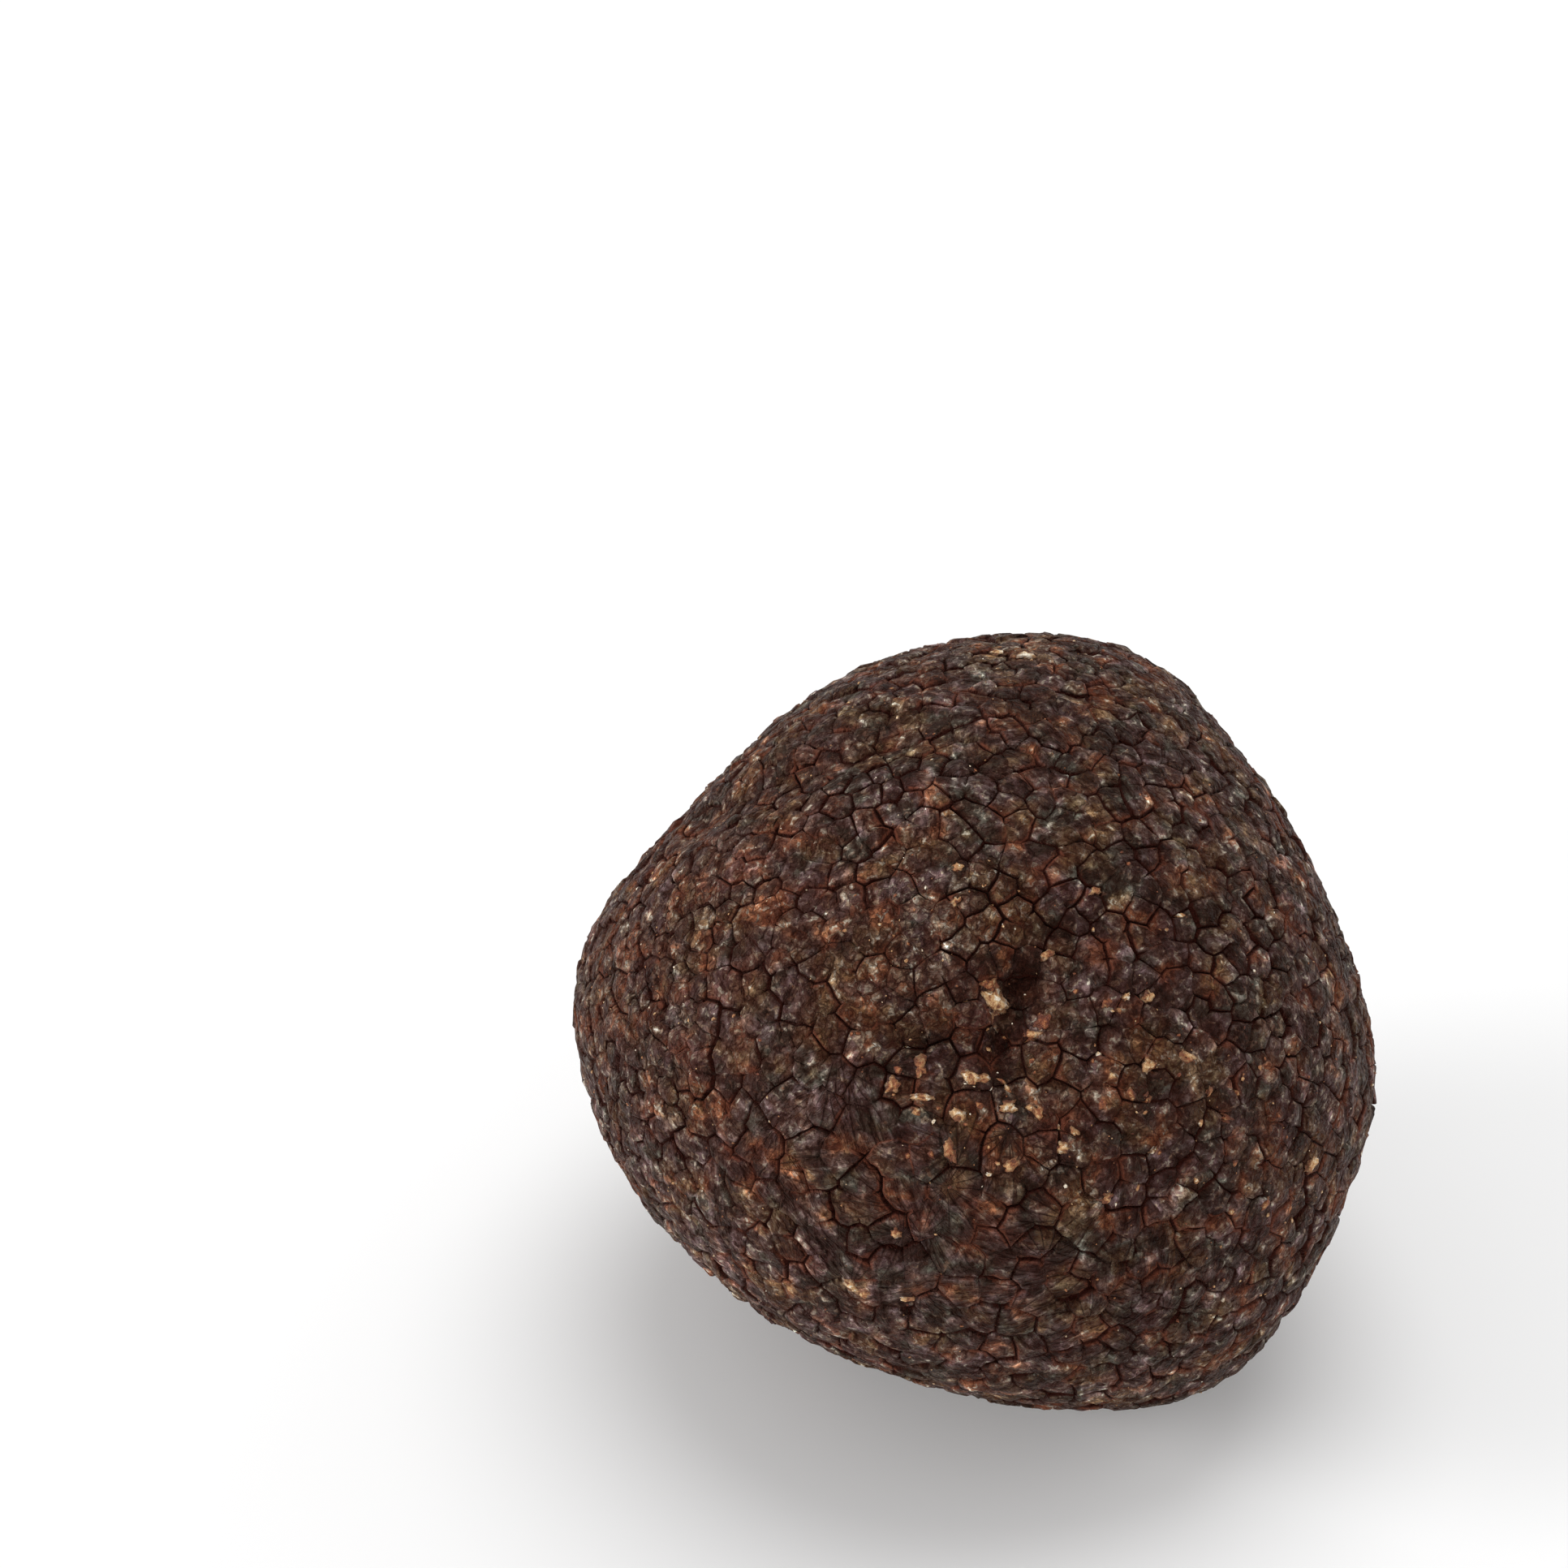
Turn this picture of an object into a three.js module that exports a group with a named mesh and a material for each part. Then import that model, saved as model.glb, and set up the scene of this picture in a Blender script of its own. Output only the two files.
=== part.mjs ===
// A black winter truffle lying on a surface, whole and uncut.
// It is one solid: a lumpy round body whose skin is broken into low polygonal warts by narrow cracks.
// Millimetres, +Z up. The origin is the middle of the small flat spot that the truffle rests on.
// Directions are seen from the middle of the body: azimuth 0 is +X and 90 is +Y, elevation 90 is +Z.

import * as THREE from 'three';
import { ConvexHull } from 'three/addons/math/ConvexHull.js';

// Driving dimensions of the body: the half axes of the ellipsoid that it swells from
const HALF_WIDTH = 26.8;
const HALF_DEPTH = 26.6;
const HALF_HEIGHT = 25.4;
const SETTLED = 1.0; // how far the underside is pressed flat where it rests
const CENTRE_HEIGHT = HALF_HEIGHT - SETTLED;

// Driving dimensions of the warts
const WART_SPACING = 2.14; // least distance between the tops of two average warts
const SPACING_SPREAD = [0.78, 1.24]; // smallest and largest wart, as a share of the average
const CRACK_DEPTH = 0.6;
const TOP_UNEVENNESS = 0.12; // how far one wart's top may stand above or below its neighbours'
const PLATE_FROM = 2.15; // warts spaced wider than this have a flat top, the others are low pyramids
const TIP_RISE = 0.26; // how much higher than a flat top a pyramid's tip is
const PLATE_SHARE = 0.74; // how much of its wart a flat top covers
const SHORTEST_CRACK = 0.6; // cracks shorter than this shrink to a single corner
const WART_TRIES = 60000;
const SEED = 1729;

const SKIN_COLOUR = '#48342d';
const SKIN_ROUGHNESS = 0.82;

// Swellings, and flats where rise is below zero: azimuth, elevation and spread in degrees, rise in mm
const SWELLINGS = [
  { name: 'heel', azimuth: -46, elevation: -36, rise: 3.4, spread: 20 },
  { name: 'crown', azimuth: 62, elevation: 46, rise: 1.9, spread: 16 },
  { name: 'left end', azimuth: 174, elevation: 4, rise: 1.2, spread: 14 },
  { name: 'right end', azimuth: -6, elevation: -6, rise: 0.8, spread: 10 },
  { name: 'back shoulder', azimuth: 98, elevation: -18, rise: 1.3, spread: 17 },
  { name: 'back left flat', azimuth: 155, elevation: 29, rise: -2.1, spread: 18 },
  { name: 'front left flat', azimuth: -141, elevation: -37, rise: -1.7, spread: 20 },
  { name: 'underside flat', azimuth: -94, elevation: -52, rise: -1.8, spread: 18 },
  { name: 'underside notch', azimuth: -59, elevation: -46, rise: -0.8, spread: 8 },
  { name: 'right flat', azimuth: 16, elevation: 18, rise: -1.1, spread: 14 },
  { name: 'upper right flat', azimuth: 34, elevation: 33, rise: -0.6, spread: 9 },
  { name: 'front hollow', azimuth: -86, elevation: 42, rise: -2.2, spread: 12 },
];

// Furrows: the [azimuth, elevation] points each one runs through, its depth in mm and its
// half-width in degrees
const FURROWS = [
  { name: 'hollow pit', points: [[-85, 36], [-80, 46]], depth: 1.0, width: 3.2 },
  { name: 'hollow crease', points: [[-105, 37], [-95, 37], [-85, 36]], depth: 0.6, width: 3 },
  { name: 'upper crease', points: [[-80, 46], [-69, 53], [-55, 53], [-43, 47]], depth: 0.6, width: 4.5 },
  { name: 'lower crease', points: [[-85, 36], [-81, 27]], depth: 0.5, width: 3 },
  { name: 'right crease', points: [[-66, 36], [-48, 34]], depth: 0.5, width: 4 },
  {
    name: 'long crack over the hollow',
    points: [[-144, 53], [-118, 65], [-95, 68], [-76, 63], [-77, 55]],
    depth: 0.45,
    width: 2.2,
  },
  { name: 'shoulder', points: [[179, 42], [-175, 54], [-173, 65], [-179, 78]], depth: 1, width: 6 },
  { name: 'back cleft', points: [[62, 22], [70, 6], [66, -12], [74, -28]], depth: 1.5, width: 6 },
  { name: 'back dint', points: [[126, 4], [133, -8]], depth: 0.9, width: 7 },
];

// Places where the warts grow larger or smaller: how many mm wider they are spaced
const WART_ZONES = [
  { name: 'large plates', azimuth: -99, elevation: 16, wider: 1.4, spread: 20 },
  { name: 'large plates behind', azimuth: 84, elevation: -6, wider: 0.7, spread: 20 },
  { name: 'fine left side', azimuth: -151, elevation: 22, wider: -0.35, spread: 22 },
  { name: 'fine right side', azimuth: -28, elevation: 18, wider: -0.25, spread: 20 },
  { name: 'fine hollow', azimuth: -79, elevation: 44, wider: -0.35, spread: 9 },
];

function directionOf(azimuth, elevation) {
  const polar = THREE.MathUtils.degToRad(90 - elevation);
  const turn = THREE.MathUtils.degToRad(azimuth);
  return new THREE.Vector3(
    Math.sin(polar) * Math.cos(turn),
    Math.sin(polar) * Math.sin(turn),
    Math.cos(polar),
  );
}

// A smooth bell on the sphere: 1 at its centre, falling away over its spread
function bell(direction, place) {
  const spread = THREE.MathUtils.degToRad(place.spread);
  const centre = directionOf(place.azimuth, place.elevation);
  return Math.exp((direction.dot(centre) - 1) / (spread * spread));
}

// The angle in degrees between a direction and the great-circle arc from start to end
function angleToArc(direction, start, end) {
  const normal = start.clone().cross(end).normalize();
  const afterStart = direction.dot(normal.clone().cross(start)) > 0;
  const beforeEnd = direction.dot(end.clone().cross(normal)) > 0;
  const angle = afterStart && beforeEnd
    ? Math.abs(Math.asin(THREE.MathUtils.clamp(direction.dot(normal), -1, 1)))
    : Math.min(direction.angleTo(start), direction.angleTo(end));
  return THREE.MathUtils.radToDeg(angle);
}

function furrowDepth(direction, furrow) {
  const points = furrow.points.map(([azimuth, elevation]) => directionOf(azimuth, elevation));
  let nearest = Infinity;
  for (let i = 1; i < points.length; i += 1) {
    nearest = Math.min(nearest, angleToArc(direction, points[i - 1], points[i]));
  }
  return furrow.depth * Math.exp(-((nearest / furrow.width) ** 2));
}

// Distance from the middle of the body to the level of the wart tops
function bodyRadius(direction) {
  const { x, y, z } = direction;
  let radius = 1 / Math.hypot(x / HALF_WIDTH, y / HALF_DEPTH, z / HALF_HEIGHT);
  for (const swelling of SWELLINGS) radius += swelling.rise * bell(direction, swelling);
  for (const furrow of FURROWS) radius -= furrowDepth(direction, furrow);
  return radius;
}

// Distance from the middle of the body down to the surface that the truffle rests on
function floorRadius(direction) {
  return direction.z < 0 ? CENTRE_HEIGHT / -direction.z : Infinity;
}

// A point of the skin: rise lifts a wart's top, which stops at the floor, and depth sinks a crack
function surfacePoint(direction, rise, depth) {
  const radius = Math.min(bodyRadius(direction) + rise, floorRadius(direction)) - depth;
  return direction.clone().multiplyScalar(radius).add(new THREE.Vector3(0, 0, CENTRE_HEIGHT));
}

function wartSpacing(direction) {
  return WART_ZONES.reduce(
    (spacing, zone) => spacing + zone.wider * bell(direction, zone),
    WART_SPACING,
  );
}

// Warts are scattered at random, each keeping its own distance from those already there.
// The first one is right below the middle of the body, so the truffle rests on a flat wart top.
function scatterWarts() {
  THREE.MathUtils.seededRandom(SEED);
  const [smallest, largest] = SPACING_SPREAD;
  const underside = new THREE.Vector3(0, 0, -1);
  const warts = [{ direction: underside, spacing: WART_SPACING, rise: 0 }];
  for (let i = 0; i < WART_TRIES; i += 1) {
    const height = 2 * THREE.MathUtils.seededRandom() - 1;
    const turn = 2 * Math.PI * THREE.MathUtils.seededRandom();
    const share = smallest + (largest - smallest) * THREE.MathUtils.seededRandom();
    const rise = TOP_UNEVENNESS * (2 * THREE.MathUtils.seededRandom() - 1);
    const across = Math.sqrt(1 - height * height);
    const direction = new THREE.Vector3(across * Math.cos(turn), across * Math.sin(turn), height);
    const spacing = share * wartSpacing(direction);
    const isClear = warts.every((wart) => {
      const gap = direction.distanceTo(wart.direction) * HALF_WIDTH;
      return gap > (spacing + wart.spacing) / 2;
    });
    if (isClear) warts.push({ direction, spacing, rise });
  }
  return warts;
}

// The cracks run halfway between neighbouring warts. Each face of the convex hull of the wart
// directions joins three neighbours, and its normal points at the corner where their cracks meet.
// The corners at the two ends of a very short crack become one.
function crackCorners(hull) {
  const corners = new Map(hull.faces.map((face) => [face, { sum: face.normal.clone() }]));
  const cornerOf = (face) => {
    let corner = corners.get(face);
    while (corner.joined) corner = corner.joined;
    return corner;
  };
  for (const face of hull.faces) {
    for (let side = 0; side < 3; side += 1) {
      const other = face.getEdge(side).twin.face;
      const isShort = face.normal.distanceTo(other.normal) * HALF_WIDTH < SHORTEST_CRACK;
      const here = cornerOf(face);
      const there = cornerOf(other);
      if (isShort && here !== there) {
        here.sum.add(there.sum);
        there.joined = here;
      }
    }
  }
  for (const corner of corners.values()) corner.direction = corner.sum.clone().normalize();
  return cornerOf;
}

// The corners round each wart, anticlockwise seen from outside
function wartOutlines(warts) {
  const hull = new ConvexHull().setFromPoints(warts.map((wart) => wart.direction));
  const cornerOf = crackCorners(hull);
  const following = new Map(warts.map((wart) => [wart.direction, new Map()]));
  for (const face of hull.faces) {
    for (let side = 0; side < 3; side += 1) {
      const edge = face.getEdge(side);
      const left = cornerOf(face);
      const right = cornerOf(edge.twin.face);
      if (left !== right) following.get(edge.tail().point).set(right, left);
    }
  }
  return warts.map((wart) => {
    const next = following.get(wart.direction);
    const outline = [next.keys().next().value];
    while (next.get(outline.at(-1)) !== outline[0]) outline.push(next.get(outline.at(-1)));
    return outline;
  });
}

// The whole skin as one closed surface. A pyramid is a fan of triangles from its tip down to the
// cracks, and a flat-topped wart has a rim with the slopes outside it and the flat top inside it.
function truffleGeometry() {
  const vertices = [];
  const triangles = [];
  const addVertex = (direction, rise, depth) => {
    vertices.push(...surfacePoint(direction, rise, depth));
    return vertices.length / 3 - 1;
  };
  const addPyramid = (wart, bottoms) => {
    const tip = addVertex(wart.direction, wart.rise + TIP_RISE, 0);
    bottoms.forEach((bottom, i) => triangles.push(tip, bottom, bottoms[(i + 1) % bottoms.length]));
  };
  const addFlatTopped = (wart, outline, bottoms) => {
    const rim = outline.map((corner) => {
      const direction = wart.direction.clone().lerp(corner.direction, PLATE_SHARE).normalize();
      return addVertex(direction, wart.rise, 0);
    });
    for (let i = 0; i < rim.length; i += 1) {
      const next = (i + 1) % rim.length;
      triangles.push(rim[i], bottoms[i], bottoms[next]);
      triangles.push(rim[i], bottoms[next], rim[next]);
      if (i > 0 && next > 0) triangles.push(rim[0], rim[i], rim[next]);
    }
  };

  const warts = scatterWarts();
  wartOutlines(warts).forEach((outline, i) => {
    const wart = warts[i];
    for (const corner of outline) corner.bottom ??= addVertex(corner.direction, 0, CRACK_DEPTH);
    const bottoms = outline.map((corner) => corner.bottom);
    const isResting = floorRadius(wart.direction) < bodyRadius(wart.direction);
    if (isResting || wart.spacing >= PLATE_FROM) addFlatTopped(wart, outline, bottoms);
    else addPyramid(wart, bottoms);
  });

  const geometry = new THREE.BufferGeometry();
  geometry.setAttribute('position', new THREE.Float32BufferAttribute(vertices, 3));
  geometry.setIndex(triangles);
  geometry.computeVertexNormals();
  return geometry;
}

function makeTruffle() {
  const skin = new THREE.MeshStandardMaterial({
    color: SKIN_COLOUR,
    roughness: SKIN_ROUGHNESS,
    metalness: 0,
    flatShading: true,
  });
  const truffle = new THREE.Mesh(truffleGeometry(), skin);
  truffle.name = 'truffle';
  return truffle;
}

const group = new THREE.Group();
group.add(makeTruffle());

export default group;
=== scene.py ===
"""A whole black truffle on a pale floor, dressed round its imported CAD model.

The CAD body is a lump covered in faceted warts. This script repeats that lump and the places of its
warts, and covers it with a finer skin: each wart is broken into smaller grains, with cracks of
different depths between them, and crumbs and flakes of paler skin lie on it. Lengths in the constants
are in millimetres and angles in degrees, unless a comment says otherwise. Directions are seen from
the middle of the body: azimuth 0 is +X and 90 is +Y, elevation 90 is +Z.
"""
import math
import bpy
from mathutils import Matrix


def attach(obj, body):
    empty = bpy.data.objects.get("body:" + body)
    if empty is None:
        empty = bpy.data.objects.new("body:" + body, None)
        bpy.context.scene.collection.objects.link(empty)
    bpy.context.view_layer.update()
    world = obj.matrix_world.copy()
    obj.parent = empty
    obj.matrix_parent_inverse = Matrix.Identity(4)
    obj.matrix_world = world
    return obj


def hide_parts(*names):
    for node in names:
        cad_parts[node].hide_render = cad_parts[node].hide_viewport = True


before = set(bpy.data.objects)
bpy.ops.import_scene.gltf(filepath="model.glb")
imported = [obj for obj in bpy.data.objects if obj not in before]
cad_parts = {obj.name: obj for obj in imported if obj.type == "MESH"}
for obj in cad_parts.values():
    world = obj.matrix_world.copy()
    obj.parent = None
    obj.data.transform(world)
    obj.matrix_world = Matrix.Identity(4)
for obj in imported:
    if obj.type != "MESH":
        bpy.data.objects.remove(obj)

from types import SimpleNamespace

import bmesh
import bpy
import numpy as np
from mathutils import Matrix, Vector, noise
from mathutils.bvhtree import BVHTree

MM = 0.001
NODE = "truffle"
BODY = "root"

# ---- The body, as in the CAD source ----
HALF_AXES = np.array([26.8, 26.6, 25.4])
SETTLED = 1.0  # how far the lowest point is cut off by the flat spot
CENTRE = np.array([0.0, 0.0, HALF_AXES[2] - SETTLED])
MEAN_RADIUS = HALF_AXES[0]
NEARLY_LEVEL = 1e-9  # stands in for a slope of nothing, so that nothing is divided by zero

# Swellings, and flats where the rise is below zero: azimuth, elevation, rise, spread
SWELLINGS = {
    "heel": (-46, -36, 3.4, 20),
    "crown": (62, 46, 1.9, 16),
    "left end": (174, 4, 1.2, 14),
    "right end": (-6, -6, 0.8, 10),
    "back shoulder": (98, -18, 1.3, 17),
    "back left flat": (155, 29, -2.1, 18),
    "front left flat": (-141, -37, -1.7, 20),
    "underside flat": (-94, -52, -1.8, 18),
    "underside notch": (-59, -46, -0.8, 8),
    "right flat": (16, 18, -1.1, 14),
    "upper right flat": (34, 33, -0.6, 9),
    "front hollow": (-86, 42, -2.2, 12),
}

# Furrows: the (azimuth, elevation) points each one runs through, depth, half-width in degrees
FURROWS = {
    "hollow pit": ([(-85, 36), (-80, 46)], 1.0, 3.2),
    "hollow crease": ([(-105, 37), (-95, 37), (-85, 36)], 0.6, 3),
    "upper crease": ([(-80, 46), (-69, 53), (-55, 53), (-43, 47)], 0.6, 4.5),
    "lower crease": ([(-85, 36), (-81, 27)], 0.5, 3),
    "right crease": ([(-66, 36), (-48, 34)], 0.5, 4),
    "long crack over the hollow": ([(-144, 53), (-118, 65), (-95, 68), (-76, 63), (-77, 55)], 0.45, 2.2),
    "shoulder": ([(179, 42), (-175, 54), (-173, 65), (-179, 78)], 1.0, 6),
    "back cleft": ([(62, 22), (70, 6), (66, -12), (74, -28)], 1.5, 6),
    "back dint": ([(126, 4), (133, -8)], 0.9, 7),
}

# ---- The warts, as in the CAD source ----
WART_SPACING = 2.14
WART_SHARES = (0.78, 1.24)  # the least and the most of its zone's spacing that a wart keeps
TOP_UNEVENNESS = 0.12  # the most that a wart's top lies above or below the body's level
WART_TRIES = 60000
WART_SEED = 1729

# Places where the warts grow larger or smaller: azimuth, elevation, how much wider, spread
WART_ZONES = {
    "large plates": (-99, 16, 1.4, 20),
    "large plates behind": (84, -6, 0.7, 20),
    "fine left side": (-151, 22, -0.35, 22),
    "fine right side": (-28, 18, -0.25, 20),
    "fine hollow": (-79, 44, -0.35, 9),
}

# ---- The grains that each wart is broken into ----
GRAIN_SPACING = 1.48
GRAIN_SHARES = (0.8, 1.25)
GRAIN_TRIES = 90000
GRAIN_SEED = 4104
GRAIN_ZONES = {
    "large plates": (-99, 16, 0.5, 22),
    "fine left side": (-151, 22, -0.22, 24),
}
GRAIN_RISE = 0.05  # the most that a grain lies above or below its wart
GRAIN_TILT = 0.05  # typical slope of a grain's top
WART_TILT = 0.04  # typical slope of a wart's top
TOP_LIMITS = (-0.14, 0.10)  # how far the rises and tilts may move the skin
LUMP_SIZES = {2.1: 0.18, 0.95: 0.20}  # soft lumps over the whole skin: size and height
WANDER_SIZES = {1.6: 0.22, 0.7: 0.08}  # sideways bends of the cracks: size and shift
WANDER_SEEDS = (11, 12, 13)  # one for each axis
NOISE_SHIFT = (17.3, -9.1, 4.7)  # how far apart the noises of two seeds are taken

# Cracks. A strength is a crack's depth as a share of CRACK_DEPTH
CRACK_DEPTH = 0.56
WIDE_STRENGTHS = (0.55, 1.0)  # between two warts
CLOSED_STRENGTH = 0.25  # between two warts that have nearly grown together
CLOSED_SHARE = 0.26  # how many of the cracks between warts are like that
INNER_STRENGTHS = (0.0, 0.10, 0.24)  # between two grains of a wart
INNER_SHARES = (0.45, 0.35, 0.2)
PATCH_SIZE = 5.0  # cracks are deeper or shallower in patches
PATCH_STRENGTHS = (0.95, 0.5)  # the middle strength and the change
CRACK_STEP = 0.61  # the spacing of the vertices along a crack
CRACK_WAVE = 0.13  # how far a crack strays from its straight line
WAVE_SIZE = 0.9
SHORTEST_CRACK = 0.22  # a shorter one is closed up, and its ends are joined

# Rings of vertices round a grain: how far in from its cracks, and how far they still sink
RING_INSETS = (0.07, 0.17, 0.36)
RING_SINKS = (0.46, 0.21, 0.05)
RING_STEP = 0.68
FULL_RINGS = 2  # these have a vertex for each vertex of the crack
FEWEST_IN_RING = 5
LAST_RING = 1.5  # the least number of steps that it keeps from the middle
NARROW = (0.45, 0.4)  # shares of the way in that limit a ring on a narrow grain
INNERMOST = 0.92  # the most of the way in for any ring

SHOULDER_SHADE = 1.4  # how strongly the crack's colour reaches up a grain's shoulder, against its sink: partly the crack's own dark colour, partly painted shade
PAINTED_FURROW_SHADE = (0.4, 0.7)  # the furrow depth at which painted shade in the furrows starts, and the most depth that it darkens by

# ---- Zones of colour, texture and painted light and shade ----
# Each zone: azimuth, elevation, strength, spread
RUSTY_ZONES = {
    "left side": (-148, 34, 0.8, 20),
    "right of the hollow": (-60, 40, 0.5, 9),
    "lower edge": (-92, -18, 0.4, 14),
    "below the hollow": (-74, 22, 0.45, 10),
    "back": (60, 20, 0.4, 25),
}
PALE_ZONES = {
    "left of the hollow": (-104, 44, 0.9, 9),
    "above the hollow": (-96, 60, 0.5, 9),
    "below the hollow": (-80, 24, 0.7, 11),
    "left side": (-160, 24, 0.6, 18),
    "crown": (80, 66, 0.5, 12),
    "lower right": (-40, 6, 0.3, 14),
    "back": (110, 10, 0.5, 25),
}
# Painted light and shade, partly the skin's own tone: lighter or darker, in stops. The dark pit is painted
# shade in its hollow, and the lighter crown and lower left edge are painted light.
PAINTED_LIGHT_AND_TONE_ZONES = {
    "pit": (-80.5, 47, -1.6, 2.4),
    "crown": (78, 67, 0.9, 6),
    "above the hollow": (-97, 60, 0.75, 6),
    "left of the hollow": (-104, 45, 0.1, 7),
    "left side": (-152, 30, 0.3, 16),
    "lower left edge": (-142, -14, 0.5, 14),
    "right of the hollow": (-54, 47, -0.35, 11),
    "right": (-50, 22, -0.2, 12),
    "lower right": (-66, 3, -0.2, 9),
    "lower left": (-122, 12, -0.65, 8),
}
# More and larger crumbs
RUBBLE_ZONES = {
    "below the hollow": (-84, 27, 1.0, 9),
    "right of the hollow": (-56, 30, 0.8, 10),
    "left of the hollow": (-106, 42, 0.5, 8),
    "lower right": (-52, 4, 0.4, 12),
    "back": (96, 16, 0.6, 16),
}
# Smooth plates with grooves
PLATED_ZONES = {
    "lower front": (-100, 16, 1.0, 17),
    "top": (-30, 84, 0.6, 20),
    "lower right": (-66, -6, 0.6, 18),
    "back": (80, -10, 0.8, 25),
}


# ---- Directions and the body's form ----
def direction_of(azimuth, elevation):
    """The unit vector that points that way from the middle of the body."""
    turn, lift = math.radians(azimuth), math.radians(elevation)
    return np.array([math.cos(lift) * math.cos(turn), math.cos(lift) * math.sin(turn), math.sin(lift)])


def unit(vectors):
    return vectors / np.linalg.norm(vectors, axis=-1, keepdims=True)


def bell(directions, azimuth, elevation, spread):
    """A smooth bell on the sphere: 1 at its centre, falling away over its spread."""
    nearness = directions @ direction_of(azimuth, elevation)
    return np.exp((nearness - 1) / math.radians(spread) ** 2)


def angle_to_arc(directions, start, end):
    """Degrees between each direction and the great-circle arc from start to end."""
    normal = unit(np.cross(start, end))
    beside = (directions @ np.cross(normal, start) > 0) & (directions @ np.cross(end, normal) > 0)
    to_circle = np.abs(np.arcsin(np.clip(directions @ normal, -1, 1)))
    to_start = np.arccos(np.clip(directions @ start, -1, 1))
    to_end = np.arccos(np.clip(directions @ end, -1, 1))
    return np.degrees(np.where(beside, to_circle, np.minimum(to_start, to_end)))


def angle_to_line(directions, points):
    """Degrees between each direction and a line through (azimuth, elevation) points."""
    ends = [direction_of(*point) for point in points]
    return np.min([angle_to_arc(directions, a, b) for a, b in zip(ends, ends[1:])], axis=0)


def body_radius(directions):
    """Distance from the middle of the body to the level of the wart tops."""
    radius = 1 / np.linalg.norm(directions / HALF_AXES, axis=1)
    for azimuth, elevation, rise, spread in SWELLINGS.values():
        radius = radius + rise * bell(directions, azimuth, elevation, spread)
    return radius - furrow_depth(directions)


def furrow_depth(directions):
    """How deep the furrows cut into the body."""
    return sum(depth * np.exp(-((angle_to_line(directions, points) / width) ** 2))
               for points, depth, width in FURROWS.values())


def floor_radius(directions):
    """Distance from the middle of the body down to the surface that the truffle rests on."""
    down = np.where(directions[:, 2] < 0, -directions[:, 2], NEARLY_LEVEL)
    return CENTRE[2] / down


def fields(directions, zones):
    """How strongly each direction lies in some zones: azimuth, elevation, strength, spread."""
    return sum(strength * bell(directions, azimuth, elevation, spread)
               for azimuth, elevation, strength, spread in zones.values())


# ---- Scattering ----
BATCH = 400  # points compared at a time


def seeded_random(seed, count):
    """The numbers that three.js's MathUtils.seededRandom gives once it is set to seed."""
    mask = np.uint64(0xFFFFFFFF)
    steps = np.arange(2, count + 2, dtype=np.uint64)
    t = (np.uint64(seed) + steps * np.uint64(0x6D2B79F5)) & mask
    t = ((t ^ (t >> np.uint64(15))) * (t | np.uint64(1))) & mask
    t ^= (t + ((t ^ (t >> np.uint64(7))) * (t | np.uint64(61)) & mask)) & mask
    return (t ^ (t >> np.uint64(14))).astype(float) / 2 ** 32


def sphere_points(heights, turns):
    """Unit vectors from their heights and from their turns about the Z axis in radians."""
    across = np.sqrt(1 - heights ** 2)
    return np.stack([across * np.cos(turns), across * np.sin(turns), heights], axis=1)


def keep_apart(directions, spacings):
    """Indices of the points that keep their spacing from all the points kept before them."""
    kept = []
    for start in range(0, len(directions), BATCH):
        here = np.arange(start, min(start + BATCH, len(directions)))
        if kept:
            gaps = np.linalg.norm(directions[here, None] - directions[kept][None], axis=2)
            wanted = (spacings[here, None] + spacings[kept][None]) / 2
            here = here[(gaps * MEAN_RADIUS > wanted).all(axis=1)]
        new = []
        for i in here:
            gaps = np.linalg.norm(directions[new] - directions[i], axis=1) * MEAN_RADIUS
            if (gaps > (spacings[new] + spacings[i]) / 2).all():
                new.append(i)
        kept += new
    return np.array(kept)


def scatter_warts():
    """Directions and rises of the warts, drawn just as the CAD source draws them."""
    draws = seeded_random(WART_SEED, 4 * WART_TRIES).reshape(-1, 4)
    directions = sphere_points(2 * draws[:, 0] - 1, 2 * math.pi * draws[:, 1])
    smallest, largest = WART_SHARES
    share = smallest + (largest - smallest) * draws[:, 2]
    spacings = share * (WART_SPACING + fields(directions, WART_ZONES))
    rises = TOP_UNEVENNESS * (2 * draws[:, 3] - 1)
    directions = np.vstack([[0, 0, -1], directions])
    spacings = np.append(WART_SPACING, spacings)
    rises = np.append(0, rises)
    kept = keep_apart(directions, spacings)
    return directions[kept], rises[kept]


def scatter_grains(rng):
    """Directions of the grains."""
    directions = sphere_points(rng.uniform(-1, 1, GRAIN_TRIES), rng.uniform(0, 2 * math.pi, GRAIN_TRIES))
    share = rng.uniform(*GRAIN_SHARES, GRAIN_TRIES)
    spacings = share * (GRAIN_SPACING + fields(directions, GRAIN_ZONES))
    return directions[keep_apart(directions, spacings)]


def nearest(directions, centres):
    """The index of the centre nearest to each direction."""
    return np.argmax(directions @ centres.T, axis=1)


# ---- The crack network ----
def hull_triangles(directions):
    """The triangles of the convex hull of points on the unit sphere, anticlockwise from outside."""
    mesh = bmesh.new()
    for direction in directions:
        mesh.verts.new(direction)
    mesh.verts.index_update()
    bmesh.ops.convex_hull(mesh, input=mesh.verts)
    bmesh.ops.triangulate(mesh, faces=mesh.faces)
    mesh.verts.index_update()
    triangles = np.array([[v.index for v in face.verts] for face in mesh.faces])
    mesh.free()
    a, b, c = (directions[triangles[:, i]] for i in range(3))
    inward = np.einsum("ij,ij->i", np.cross(b - a, c - a), a) < 0
    triangles[inward] = triangles[inward][:, ::-1]
    return triangles


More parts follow.
